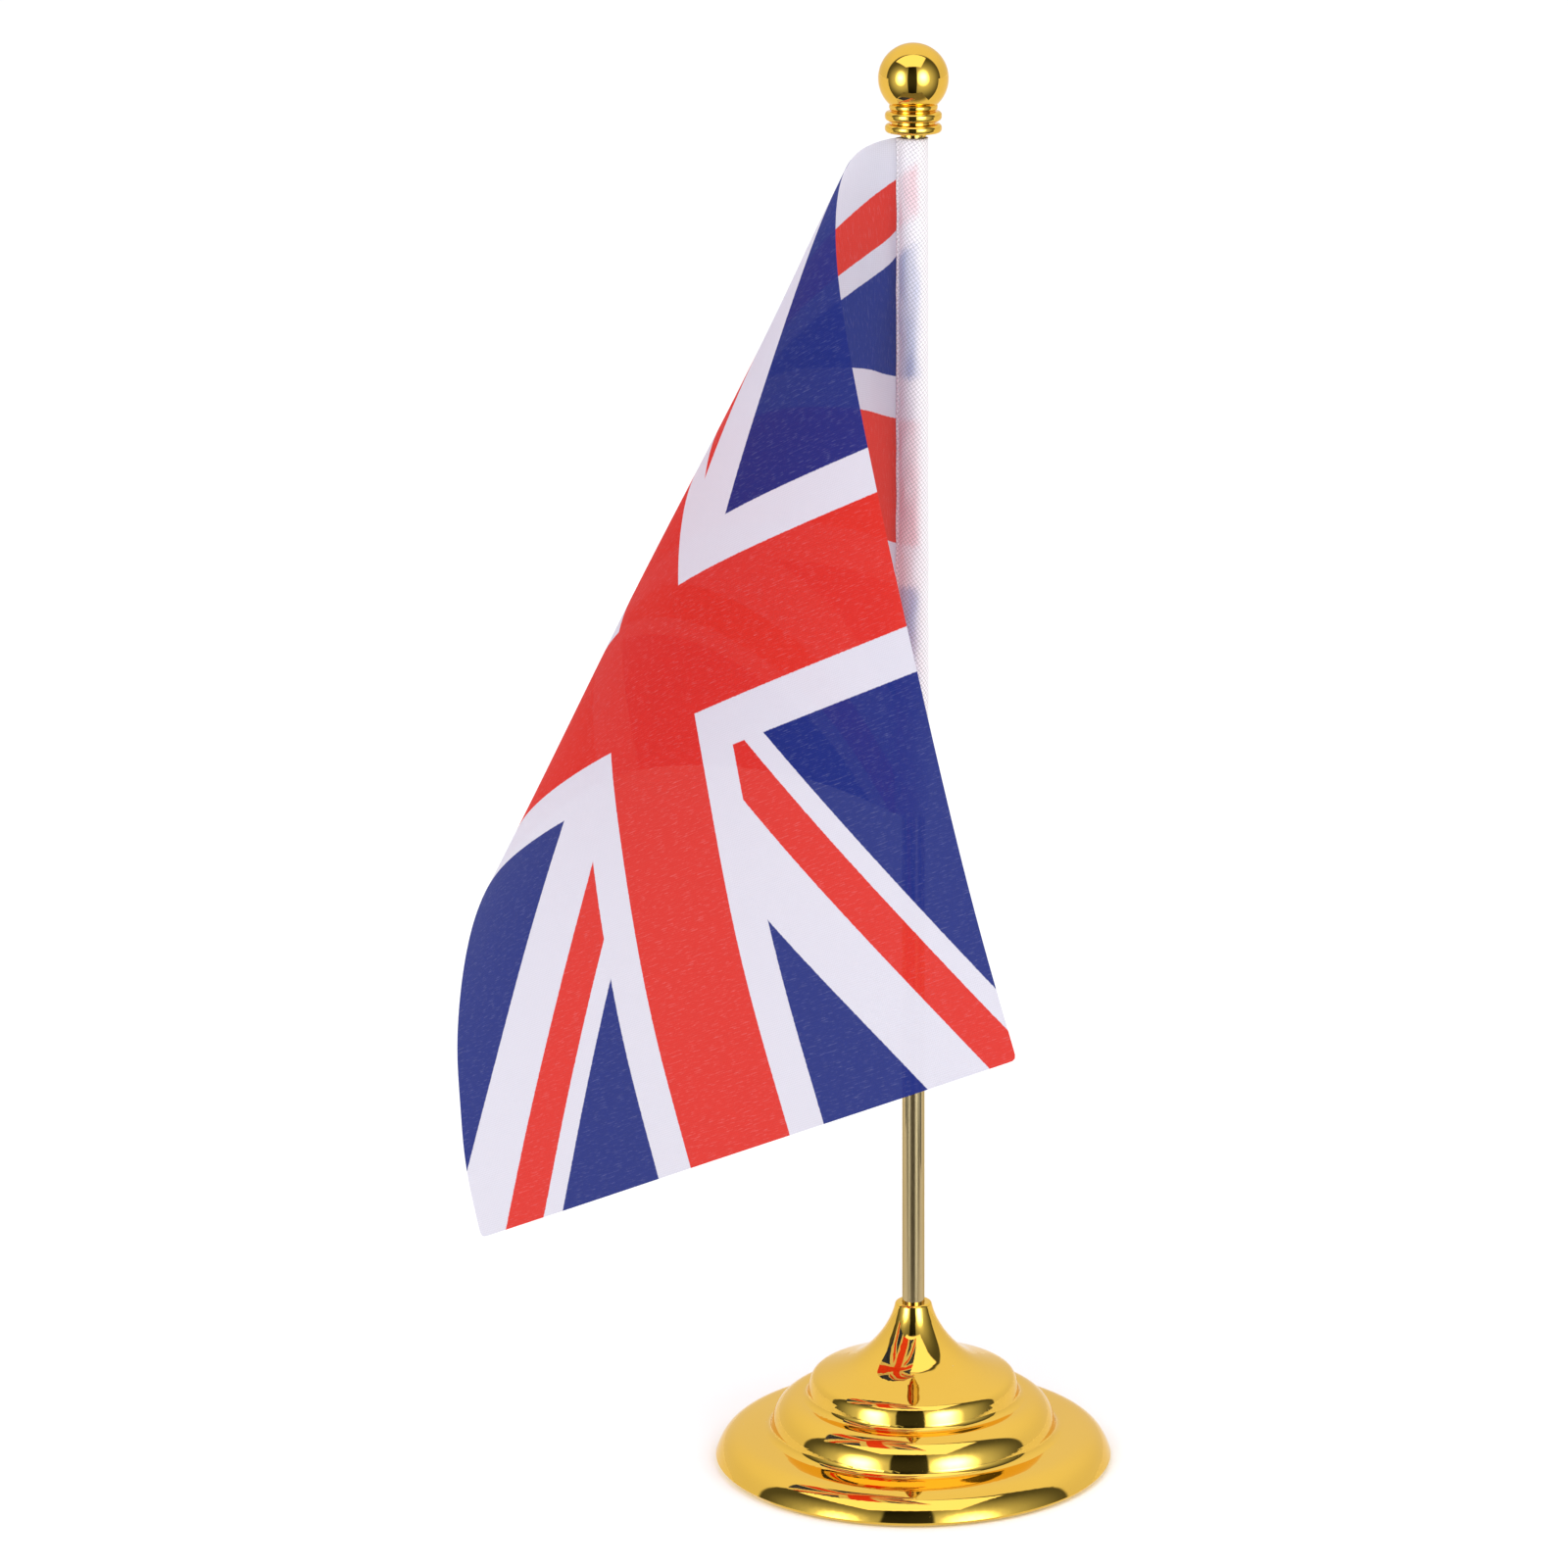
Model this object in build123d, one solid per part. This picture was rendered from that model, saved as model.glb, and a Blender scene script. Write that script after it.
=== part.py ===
from build123d import *
import math
import os

# Desk flag stand: a weighted stepped dome, a thin tube pole, a ball finial and a small cloth flag.
# Millimetres, +Z up. The origin is the middle of the felt pad's underside, on the pole's axis.
# The flag leaves the pole towards -X, passes behind it (+Y), and comes back in front (-Y).

# Overall
TOTAL_HEIGHT = 300.0

# Base. Slopes are degrees below the horizontal, going outwards and down.
RIM_RADIUS = 42.0
RIM_WIDEST_Z = 1.2
RIM_SLOPE = 70.0
RIM_FOOT_RADIUS = 40.8
RIM_FOOT_SAGITTA = 0.3
SHELL_FOOT_Z = 0.4
COLLAR_RADIUS = 3.9
COLLAR_TOP_Z = 34.8
COLLAR_LIP = 0.5
COLLAR_LIP_SAGITTA = 0.1
COLLAR_SLOPE = 79.0
SHOULDER = (14.5, 21.3)
SHOULDER_SLOPE = 22.0
TOP_TIER_EDGE = (22.3, 15.2)
TOP_TIER_SLOPE = 80.5
UPPER_GROOVE_RADIUS = 1.5
UPPER_GROOVE_SLOPE = 0.0
MIDDLE_TIER_EDGE = (30.05, 8.1)
MIDDLE_TIER_SLOPE = 81.5
LOWER_GROOVE_RADIUS = 1.7
LOWER_GROOVE_SLOPE = 8.0
FLARE_PULLS = (4.7, 5.5)
TOP_TIER_PULLS = (7.4, 4.7)
MIDDLE_TIER_PULLS = (3.5, 3.6)
RIM_TIER_PULLS = (5.0, 6.5)

# Inside the base
FELT_RADIUS = 39.3
FELT_THICKNESS = 1.2
COVER_RADIUS = 39.4
COVER_THICKNESS = 1.8
COVER_TOP_Z = FELT_THICKNESS + COVER_THICKNESS
RECESS_RADIUS = 39.6
LEDGE_RADIUS = 38.2
WALL = 1.8
ROOF_POINTS = [(31.2, 5.0), (23.0, 12.0), (16.6, 17.6), (11.2, 18.9)]
ROOF_TOP_Z = ROOF_POINTS[-1][1]
BALLAST_RADIUS = 30.0
BALLAST_THICKNESS = 2.8
BALLAST_TOP_Z = COVER_TOP_Z + BALLAST_THICKNESS
SOCKET_FLOOR_Z = 8.0
SOCKET_BOSS_RADIUS = 5.2
SCREW_COUNT = 3
SCREW_CIRCLE_RADIUS = 17.0
SCREW_BOSS_RADIUS = 2.8
SCREW_BOSS_TOP_Z = 15.0
SCREW_SHANK_RADIUS = 1.1
SCREW_HEAD_RADIUS = 2.2
SCREW_HEAD_DEPTH = 1.1
SCREW_LENGTH = 9.0
SCREW_TIP_CHAMFER = 0.55
SCREW_SLOT_WIDTH = 0.5
SCREW_SLOT_DEPTH = 0.5
CASTING_GAP = 0.4

# Pole
POLE_RADIUS = 2.35
POLE_WALL = 0.5
POLE_CHAMFER = 0.1
POLE_TOP_Z = 281.3
RUNNING_GAP = 0.05
SEATING_GAP = 0.05

# Finial
BALL_RADIUS = 7.1
BALL_CENTRE_Z = TOTAL_HEIGHT - BALL_RADIUS
STEM_RADIUS = 4.4
NECK_BEAD_RADIUS = 4.9
NECK_BEAD_Z = (286.5, 287.9)
NECK_BEAD_ROUNDING = 0.6
RING_RADIUS = 5.75
UPPER_RING_Z = (284.4, 286.4)
LOWER_RING_Z = (282.0, 283.9)
RING_ROUNDING = 0.85
LIP_RADIUS = 2.6
SPIGOT_LENGTH = 10.0
SPIGOT_CHAMFER = 0.7

# Flag
SLEEVE_RADIUS = 3.25
SLEEVE_TOP_Z = 281.0
HOIST = 140.0
SLEEVE_BOTTOM_Z = SLEEVE_TOP_Z - HOIST
CLOTH_THICKNESS = 0.8
STITCH_COUNT = 56
STITCH_RADIUS = 0.18
STITCH_LENGTH = 1.6
STITCH_ANGLE = 205.0

# The cloth is rolled like part of a cone. Each row is one straight line in the cloth:
# its end on the top edge, then its end on the bottom edge.
CLOTH_LINES = [
    ((-3.6, 0.0, 281.0), (-3.6, 0.0, 141.0)),
    ((-5.6, -0.9, 280.7), (-20.0, 27.0, 141.0)),
    ((-7.6, -1.9, 280.3), (-40.0, 40.5, 141.0)),
    ((-9.8, -3.2, 279.6), (-63.0, 43.0, 139.0)),
    ((-12.2, -5.8, 277.6), (-82.0, 31.0, 129.0)),
    ((-14.2, -10.0, 273.6), (-92.0, 15.0, 115.0)),
    ((-15.3, -17.0, 265.6), (-94.5, -2.0, 95.0)),
    ((-13.5, -29.0, 248.0), (-94.0, -10.0, 83.0)),
    ((-6.0, -47.0, 213.0), (-93.0, -16.0, 74.0)),
    ((5.5, -70.0, 165.0), (-91.5, -20.5, 65.5)),
    ((20.0, -90.0, 115.0), (-89.0, -24.5, 57.0)),
]


def turned(outline):
    """A solid of revolution from an outline drawn as (radius, height) in the XY plane."""
    return Rot(90, 0, 0) * revolve(make_face(outline), Axis.Y, 360)


def disc(radius, low, high):
    """An upright cylinder between two heights."""
    return Pos(0, 0, low) * Cylinder(radius, high - low, align=(Align.CENTER, Align.CENTER, Align.MIN))


def on_screw_circle(shape):
    """Copies of a shape at every cover screw."""
    step = 360.0 / SCREW_COUNT
    return [Rot(0, 0, 90 + step * i) * Pos(SCREW_CIRCLE_RADIUS, 0, 0) * shape for i in range(SCREW_COUNT)]


def down_slope(slope):
    """The outline's direction at a slope below the horizontal."""
    angle = math.radians(slope)
    return Vector(math.cos(angle), -math.sin(angle))


def tier(start, start_slope, end, end_slope, pulls):
    """A smooth rounded stretch of the dome's outline, leaving and arriving at the given slopes."""
    leave = Vector(*start) + down_slope(start_slope) * pulls[0]
    arrive = Vector(*end) - down_slope(end_slope) * pulls[1]
    return Bezier(start, (leave.X, leave.Y), (arrive.X, arrive.Y), end)


def groove_point(start, radius, first_slope, slope):
    """The point of a hollow round groove where its slope has eased from first_slope to slope."""
    first, here = math.radians(first_slope), math.radians(slope)
    across = radius * (math.sin(first) - math.sin(here))
    down = radius * (math.cos(here) - math.cos(first))
    return (start[0] + across, start[1] - down)


def groove(start, radius, first_slope, last_slope):
    """The hollow round groove below a tier, and the point where it ends."""
    middle = groove_point(start, radius, first_slope, (first_slope + last_slope) / 2)
    end = groove_point(start, radius, first_slope, last_slope)
    return ThreePointArc(start, middle, end), end


def dome_body():
    """The stepped dome as one full body: collar, flare, three rounded tiers and the foot of the rim."""
    collar_top = (COLLAR_RADIUS - COLLAR_LIP, COLLAR_TOP_Z)
    collar_edge = (COLLAR_RADIUS, COLLAR_TOP_Z - COLLAR_LIP)
    rim = (RIM_RADIUS, RIM_WIDEST_Z)
    foot = (RIM_FOOT_RADIUS, SHELL_FOOT_Z)
    upper_groove, middle_start = groove(
        TOP_TIER_EDGE, UPPER_GROOVE_RADIUS, TOP_TIER_SLOPE, UPPER_GROOVE_SLOPE
    )
    lower_groove, rim_start = groove(
        MIDDLE_TIER_EDGE, LOWER_GROOVE_RADIUS, MIDDLE_TIER_SLOPE, LOWER_GROOVE_SLOPE
    )
    outline = [
        Line((0, SHELL_FOOT_Z), (0, COLLAR_TOP_Z)),
        Line((0, COLLAR_TOP_Z), collar_top),
        SagittaArc(collar_top, collar_edge, COLLAR_LIP_SAGITTA),
        tier(collar_edge, COLLAR_SLOPE, SHOULDER, SHOULDER_SLOPE, FLARE_PULLS),
        tier(SHOULDER, SHOULDER_SLOPE, TOP_TIER_EDGE, TOP_TIER_SLOPE, TOP_TIER_PULLS),
        upper_groove,
        tier(middle_start, UPPER_GROOVE_SLOPE, MIDDLE_TIER_EDGE, MIDDLE_TIER_SLOPE, MIDDLE_TIER_PULLS),
        lower_groove,
        tier(rim_start, LOWER_GROOVE_SLOPE, rim, RIM_SLOPE, RIM_TIER_PULLS),
        SagittaArc(rim, foot, RIM_FOOT_SAGITTA),
        Line(foot, (0, SHELL_FOOT_Z)),
    ]
    return turned(outline)


def dome_cavity():
    """The hollow under the dome: the recess for the cover, its ledge, and the sloping roof."""
    recess = [(0, SHELL_FOOT_Z), (RECESS_RADIUS, SHELL_FOOT_Z), (RECESS_RADIUS, COVER_TOP_Z)]
    ledge = [(LEDGE_RADIUS, COVER_TOP_Z)]
    return turned(Polyline(*recess, *ledge, *ROOF_POINTS, (0, ROOF_TOP_Z), close=True))


def base_shell():
    """The plated dome with its pole socket and screw bosses."""
    shell = dome_body() - dome_cavity()
    shell += disc(SOCKET_BOSS_RADIUS, BALLAST_TOP_Z, ROOF_TOP_Z + WALL)
    for boss in on_screw_circle(disc(SCREW_BOSS_RADIUS, COVER_TOP_Z, SCREW_BOSS_TOP_Z + WALL)):
        shell += boss
    shell -= disc(POLE_RADIUS + RUNNING_GAP, SOCKET_FLOOR_Z, TOTAL_HEIGHT)
    for pilot in on_screw_circle(disc(SCREW_SHANK_RADIUS + RUNNING_GAP, 0, SCREW_BOSS_TOP_Z)):
        shell -= pilot
    return shell


def ballast_disc():
    """The iron weight, with a clearance hole for every screw boss."""
    ballast = disc(BALLAST_RADIUS, COVER_TOP_Z, BALLAST_TOP_Z)
    for hole in on_screw_circle(disc(SCREW_BOSS_RADIUS + CASTING_GAP, 0, SCREW_BOSS_TOP_Z)):
        ballast -= hole
    round_edges = ballast.edges().filter_by(GeomType.CIRCLE)
    outer_edges = round_edges.filter_by(lambda edge: edge.radius > SCREW_CIRCLE_RADIUS)
    return chamfer(outer_edges, CASTING_GAP)


def screw_head_seat(gap):
    """The cone of a countersunk head, from the cover's underside up to the shank."""
    head = SCREW_HEAD_RADIUS + gap
    shank = SCREW_SHANK_RADIUS + gap
    top = FELT_THICKNESS + SCREW_HEAD_DEPTH
    return turned(Polyline((0, FELT_THICKNESS), (head, FELT_THICKNESS), (shank, top), (0, top), close=True))


def base_cover():
    """The plastic closing plate, countersunk for its screws."""
    cover = disc(COVER_RADIUS, FELT_THICKNESS, COVER_TOP_Z)
    for hole in on_screw_circle(disc(SCREW_SHANK_RADIUS + RUNNING_GAP, 0, TOTAL_HEIGHT)):
        cover -= hole
    for seat in on_screw_circle(screw_head_seat(RUNNING_GAP)):
        cover -= seat
    return cover


def cover_screws():
    """Countersunk self-tapping screws with a pointed end and a straight slot."""
    shank_top = FELT_THICKNESS + SCREW_LENGTH
    screw = screw_head_seat(0) + disc(SCREW_SHANK_RADIUS, FELT_THICKNESS, shank_top)
    tip_edge = screw.edges().sort_by(Axis.Z)[-1]
    screw = chamfer(tip_edge, SCREW_TIP_CHAMFER)
    slot = Box(SCREW_HEAD_RADIUS * 4, SCREW_SLOT_WIDTH, SCREW_SLOT_DEPTH * 2)
    screw -= Pos(0, 0, FELT_THICKNESS) * slot
    return Compound(children=on_screw_circle(screw))


def felt_pad():
    """The round pad that the stand rests on."""
    return disc(FELT_RADIUS, 0, FELT_THICKNESS)


def pole_tube():
    """The straight tube, open at both ends, with its ends broken."""
    foot = SOCKET_FLOOR_Z + SEATING_GAP
    tube = disc(POLE_RADIUS, foot, POLE_TOP_Z) - disc(POLE_RADIUS - POLE_WALL, foot, POLE_TOP_Z)
    return chamfer(tube.edges().filter_by(GeomType.CIRCLE), POLE_CHAMFER)


def bead(radius, heights, rounding):
    """A raised bead round the finial's stem."""
    ring = disc(radius, *heights)
    return fillet(ring.edges().filter_by(GeomType.CIRCLE), rounding)


def finial():
    """The ball, its stem with three beads, the lip over the pole's end and the spigot inside the tube."""
    spigot_radius = POLE_RADIUS - POLE_WALL - RUNNING_GAP
    piece = Pos(0, 0, BALL_CENTRE_Z) * Sphere(BALL_RADIUS)
    piece += disc(STEM_RADIUS, sum(LOWER_RING_Z) / 2, BALL_CENTRE_Z)
    piece += bead(NECK_BEAD_RADIUS, NECK_BEAD_Z, NECK_BEAD_ROUNDING)
    piece += bead(RING_RADIUS, UPPER_RING_Z, RING_ROUNDING)
    piece += bead(RING_RADIUS, LOWER_RING_Z, RING_ROUNDING)
    piece += disc(LIP_RADIUS, POLE_TOP_Z + SEATING_GAP, LOWER_RING_Z[1])
    piece += disc(spigot_radius, POLE_TOP_Z - SPIGOT_LENGTH, LOWER_RING_Z[1])
    tip_edge = piece.edges().sort_by(Axis.Z)[0]
    return chamfer(tip_edge, SPIGOT_CHAMFER)


def flag_sleeve():
    """The ribbon tube that carries the flag on the pole."""
    sleeve = disc(SLEEVE_RADIUS, SLEEVE_BOTTOM_Z, SLEEVE_TOP_Z)
    return sleeve - disc(POLE_RADIUS + RUNNING_GAP, SLEEVE_BOTTOM_Z, SLEEVE_TOP_Z)


def sleeve_stitching():
    """The row of stitches beside the cloth's seam, as short straight threads lying on the ribbon."""
    pitch = HOIST / STITCH_COUNT
    reach = SLEEVE_RADIUS + STITCH_RADIUS
    thread = Cylinder(STITCH_RADIUS, STITCH_LENGTH)
    place = Rot(0, 0, STITCH_ANGLE) * Pos(reach, 0, 0)
    heights = [SLEEVE_BOTTOM_Z + pitch * (i + 0.5) for i in range(STITCH_COUNT)]
    return Compound(children=[Pos(0, 0, z) * place * thread for z in heights])


def flag_cloth():
    """The rolled cloth: a ruled sheet between its top and bottom edges, given an even thickness."""
    stations = [i / (len(CLOTH_LINES) - 1) for i in range(len(CLOTH_LINES))]
    top_edge = Edge.make_spline([line[0] for line in CLOTH_LINES], parameters=stations)
    bottom_edge = Edge.make_spline([line[1] for line in CLOTH_LINES], parameters=stations)
    sheet = Face.make_surface_from_curves(top_edge, bottom_edge)
    return Solid.thicken(sheet, CLOTH_THICKNESS)


def main():
    """Write every piece to its own file."""
    pieces = {
        "base_shell": base_shell(),
        "ballast_disc": ballast_disc(),
        "base_cover": base_cover(),
        "cover_screws": cover_screws(),
        "felt_pad": felt_pad(),
        "pole_tube": pole_tube(),
        "finial": finial(),
        "flag_sleeve": flag_sleeve(),
        "sleeve_stitching": sleeve_stitching(),
        "flag_cloth": flag_cloth(),
    }
    os.makedirs("parts", exist_ok=True)
    for name, shape in pieces.items():
        export_step(shape, f"parts/{name}.step")


main()
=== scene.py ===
import math

import bpy
import numpy as np
from mathutils import Euler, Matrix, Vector


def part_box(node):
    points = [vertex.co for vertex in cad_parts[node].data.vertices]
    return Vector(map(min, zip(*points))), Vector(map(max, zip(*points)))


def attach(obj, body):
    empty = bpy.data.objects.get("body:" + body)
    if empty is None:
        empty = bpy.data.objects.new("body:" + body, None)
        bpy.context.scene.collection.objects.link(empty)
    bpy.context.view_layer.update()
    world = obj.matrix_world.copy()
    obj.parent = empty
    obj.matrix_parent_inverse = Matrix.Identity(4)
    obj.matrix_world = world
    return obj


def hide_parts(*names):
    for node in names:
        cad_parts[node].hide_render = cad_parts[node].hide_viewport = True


# Desk flag stand: a rolled print-cloth flag in a satin ribbon sleeve on a thin tube pole,
# a stepped mirror-gold base and a ball finial. Metres, +Z up, the flag's roll opens towards +X.

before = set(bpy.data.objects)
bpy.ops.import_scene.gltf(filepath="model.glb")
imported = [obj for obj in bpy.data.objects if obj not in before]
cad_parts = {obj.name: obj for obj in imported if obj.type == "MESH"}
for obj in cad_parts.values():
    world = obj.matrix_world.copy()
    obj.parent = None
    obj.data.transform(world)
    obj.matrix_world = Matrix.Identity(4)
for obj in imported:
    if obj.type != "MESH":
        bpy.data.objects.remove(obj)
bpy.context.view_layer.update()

# Camera
CAMERA_DISTANCE = 1.100
CAMERA_HEIGHT = 0.420
CAMERA_TILT = math.radians(13.92)
CAMERA_LENS = 126.0
CAMERA_SHIFT = -0.0825
SENSOR_WIDTH = 36.0

# Flag cloth: distances along the fly start at the seam, distances up start at the bottom edge
HOIST = 0.140
FLY = 0.1985
TURNED_IN = 0.0058
GRID_STEP = 0.002
SETTLING_ROUNDS = 500
GUIDE_PULL = 0.012
BENDING_STIFFNESS = 0.12
SHEAR_STIFFNESS = 0.35
PUCKER_DEPTH = 0.00022
PUCKER_REACH = 0.007
PUCKERS_START = 0.002
SWELL_DEPTH = 0.0005
SWELL_START = 0.03

# Each row is one straight line in the cloth: its end on the top edge, then on the bottom edge.
# The places are rounded from a fitted roll.
CLOTH_LINES = [
    ((-0.0036, 0.0, 0.281), (-0.0036, 0.0, 0.141)),
    ((-0.0056, -0.0009, 0.2807), (-0.020, 0.027, 0.141)),
    ((-0.0076, -0.0019, 0.2803), (-0.040, 0.0405, 0.141)),
    ((-0.0098, -0.0032, 0.2796), (-0.063, 0.043, 0.139)),
    ((-0.0122, -0.0058, 0.2776), (-0.082, 0.031, 0.129)),
    ((-0.0142, -0.010, 0.2736), (-0.092, 0.015, 0.115)),
    ((-0.0153, -0.017, 0.2656), (-0.0945, -0.002, 0.095)),
    ((-0.0135, -0.029, 0.248), (-0.094, -0.010, 0.083)),
    ((-0.006, -0.047, 0.213), (-0.093, -0.016, 0.074)),
    ((0.0055, -0.070, 0.165), (-0.0915, -0.0205, 0.0655)),
    ((0.020, -0.090, 0.115), (-0.089, -0.0245, 0.057)),
]

# Flag print, in cross units: the red cross is six wide and its white border makes it ten
PRINT_UNIT = 0.004307
PRINT_STRETCH = 1.06
PRINT_CENTRE = (0.0978, HOIST / 2)
CROSS_HALF = 3.0
BORDER_HALF = 5.0
SALTIRE_SLOPE = 2 / 3
SALTIRE_HALF = 3.0
SALTIRE_RED = 2.0
PRINT_BLEED = 0.05
THREAD_PITCH = 0.00042
TWILL_PITCH = 0.00072
TWILL_TURN = math.radians(36)
LIGHT_THROUGH_CLOTH = 0.44
GAPS_IN_CLOTH = 0.018

# Sleeve
RIBBON_RADIUS = 0.00305
RIBBON_THICKNESS = 0.0002
LIGHT_THROUGH_RIBBON = 0.08
RIBBON_EDGE_GAP = math.radians(3)
RIBBON_EDGE_LIFT = 0.0005
RIBBON_LIFT_REACH = 0.14
RIBBON_STEPS_ROUND = 96
RIBBON_STEPS_UP = 280
TUCK_RADIUS = 0.00265
STITCH_COUNT = 64
STITCH_RADIUS = 0.00011
STITCH_LENGTH = 0.0016
STITCH_ANGLE = math.radians(193)

# Felt pad: steps round its edge, and how far the cut edge frays
FELT_STEPS = 240
FELT_FRAY = 0.0004

# Studio
FLOOR_HALF = 12.0
SOFT_LIGHT = 1.07
TABLE_FRONT = -0.31
TABLE_SIDES = (-0.235, 0.20)
# Where the table's painted shade in front of the part starts, and where it has faded to white
TABLE_DIM_FROM = -0.13
TABLE_BRIGHT_FROM = -0.01
# Each glow in degrees: azimuth, elevation, reach of its bright core, reach of its halo
STUDIO_GLOWS = [(-43, -1, 21, 54), (-43, 11, 17, 24), (33, 2, 25, 66), (33, 14, 20, 28)]


# ---------------------------------------------------------------- node helpers

def node(tree, kind, **settings):
    """A new shader node with its settings applied."""
    made = tree.nodes.new(kind)
    for name, value in settings.items():
        setattr(made, name, value)
    return made


def feed(tree, socket, value):
    """Gives an input either a link or a plain value."""
    if isinstance(value, bpy.types.NodeSocket):
        tree.links.new(value, socket)
    else:
        socket.default_value = value


def calc(tree, operation, first, second=0.0, third=0.0, clamp=False):
    """One Math node; its inputs are links or numbers."""
    made = node(tree, "ShaderNodeMath", operation=operation, use_clamp=clamp)
    for socket, value in zip(made.inputs, (first, second, third)):
        feed(tree, socket, value)
    return made.outputs[0]


def fade(tree, value, low, high, start=0.0, end=1.0):
    """A smooth step from start to end while value goes from low to high."""
    made = node(tree, "ShaderNodeMapRange", interpolation_type="SMOOTHSTEP")
    for name, number in (("From Min", low), ("From Max", high), ("To Min", start), ("To Max", end)):
        feed(tree, made.inputs[name], number)
    feed(tree, made.inputs["Value"], value)
    return made.outputs["Result"]


def blend_colours(tree, amount, first, second, mode="MIX"):
    """Mixes two colours by an amount."""
    made = node(tree, "ShaderNodeMix", data_type="RGBA", blend_type=mode)
    feed(tree, made.inputs[0], amount)
    feed(tree, made.inputs[6], first)
    feed(tree, made.inputs[7], second)
    return made.outputs[2]


def shaded(tree, colour, shade):
    """A colour made darker or lighter by a value."""
    grey = node(tree, "ShaderNodeCombineColor")
    for channel in grey.inputs:
        feed(tree, channel, shade)
    return blend_colours(tree, 1.0, colour, grey.outputs[0], "MULTIPLY")


def noise(tree, vector, scale, detail=2.0, roughness=0.5):
    """A soft noise value from 0 to 1."""
    made = node(tree, "ShaderNodeTexNoise")
    feed(tree, made.inputs["Vector"], vector)
    made.inputs["Scale"].default_value = scale
    made.inputs["Detail"].default_value = detail
    made.inputs["Roughness"].default_value = roughness
    return made.outputs["Fac"]


def stretched(tree, vector, scale, turn=(0, 0, 0)):
    """A vector multiplied along each axis, then turned."""
    made = node(tree, "ShaderNodeMapping")
    feed(tree, made.inputs["Vector"], vector)
    made.inputs["Scale"].default_value = scale
    made.inputs["Rotation"].default_value = turn
    return made.outputs["Vector"]


def new_group(name, inputs, outputs):
    """A shader node group with named inputs and outputs; returns its tree, input and output nodes."""
    group = bpy.data.node_groups.new(name, "ShaderNodeTree")
    for label, kind, default in inputs:
        socket = group.interface.new_socket(label, in_out="INPUT", socket_type=kind)
        if default is not None:
            socket.default_value = default
    for label, kind in outputs:
        group.interface.new_socket(label, in_out="OUTPUT", socket_type=kind)
    return group, group.nodes.new("NodeGroupInput"), group.nodes.new("NodeGroupOutput")


def use_group(tree, group, **values):
    """Places a group in a material and gives its inputs by name, underscores standing for spaces."""
    made = node(tree, "ShaderNodeGroup")
    made.node_tree = group
    for name, value in values.items():
        feed(tree, made.inputs[name.replace("_", " ")], value)
    return made.outputs


def new_material(name):
    """An empty node material with its output node."""
    material = bpy.data.materials.new(name)
    material.use_nodes = True
    tree = material.node_tree
    tree.nodes.clear()
    return material, tree, node(tree, "ShaderNodeOutputMaterial")


def principled(tree, colour, roughness, metallic=0.0, normal=None, **sockets):
    """A Principled shader; further sockets are named with underscores for spaces."""
    shader = node(tree, "ShaderNodeBsdfPrincipled")
    feed(tree, shader.inputs["Base Color"], colour)
    feed(tree, shader.inputs["Roughness"], roughness)
    feed(tree, shader.inputs["Metallic"], metallic)
    if normal is not None:
        feed(tree, shader.inputs["Normal"], normal)
    for name, value in sockets.items():
        shader.inputs[name.replace("_", " ")].default_value = value
    return shader.outputs["BSDF"]


def bump(tree, height, depth, strength=1.0):
    """A bump normal from a height between 0 and 1 and its real depth in metres."""
    made = node(tree, "ShaderNodeBump")
    made.inputs["Strength"].default_value = strength
    made.inputs["Distance"].default_value = depth
    feed(tree, made.inputs["Height"], height)
    return made.outputs["Normal"]


def object_place(tree):
    """The point's place in the part's own frame."""
    return node(tree, "ShaderNodeTexCoord").outputs["Object"]


def flat_place(tree):
    """The point's place in the flat cloth, in metres."""
    return node(tree, "ShaderNodeUVMap", uv_map="flat").outputs["UV"]


# ---------------------------------------------------------------- shared effects

def woven_threads_group():
    """Plain weave: a height, and pale flecks where bare yarn shows."""
    group, given, result = new_group(
        "woven_threads",
        [
            ("Flat Place", "NodeSocketVector", None),
            ("Pitch", "NodeSocketFloat", THREAD_PITCH),
        ],
        [("Height", "NodeSocketFloat"), ("Fleck", "NodeSocketFloat")],
    )
    parts = node(group, "ShaderNodeSeparateXYZ")
    feed(group, parts.inputs[0], given.outputs["Flat Place"])
    pitch = given.outputs["Pitch"]
    across = calc(group, "MULTIPLY", calc(group, "DIVIDE", parts.outputs[0], pitch), math.pi)
    upward = calc(group, "MULTIPLY", calc(group, "DIVIDE", parts.outputs[1], pitch), math.pi)
    warp = calc(group, "SINE", across)
    weft = calc(group, "SINE", upward)
    warp_on_top = fade(group, calc(group, "MULTIPLY", warp, weft), -0.3, 0.3)
    warp_height = calc(group, "ABSOLUTE", warp)
    weft_height = calc(group, "ABSOLUTE", weft)
    difference = calc(group, "SUBTRACT", warp_height, weft_height)
    height = calc(group, "MULTIPLY_ADD", difference, warp_on_top, weft_height)
    feed(group, result.inputs["Height"], height)
    slubs = noise(group, stretched(group, given.outputs["Flat Place"], (2500, 420, 1)), 1.0, 3.0, 0.7)
    loose = fade(group, slubs, 0.50, 0.70)
    feed(group, result.inputs["Fleck"], calc(group, "MULTIPLY", loose, warp_height))
    return group


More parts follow.
